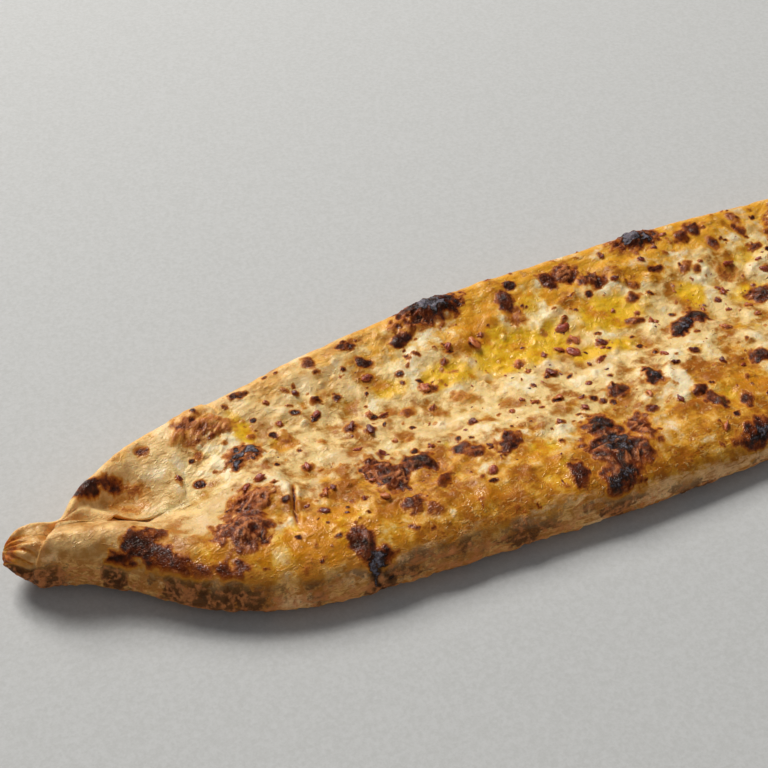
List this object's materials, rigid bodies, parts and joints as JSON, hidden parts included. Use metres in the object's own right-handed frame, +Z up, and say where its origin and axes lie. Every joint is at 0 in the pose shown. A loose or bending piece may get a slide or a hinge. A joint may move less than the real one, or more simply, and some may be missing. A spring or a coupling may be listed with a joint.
{
  "type": "turkish pide",
  "caption": "Long boat-shaped flatbread with pinched, folded tails and a browned melted cheese filling in its trough.",
  "frame": {"origin": "on the table, under the middle of the whole boat", "axes": "+X along the boat, +Y across it, +Z up"},
  "size_m": [0.49, 0.1294, 0.0215],
  "materials": {
    "dough": "baked bread crust, tan to golden with brown and charred spots, brushed with butter on top",
    "cheese": "melted cheese, creamy and wrinkled, with yellow butter patches and browned blisters"
  },
  "bodies": {
    "root": {"dough": "dough", "cheese": "cheese"}
  },
  "joints": []
}
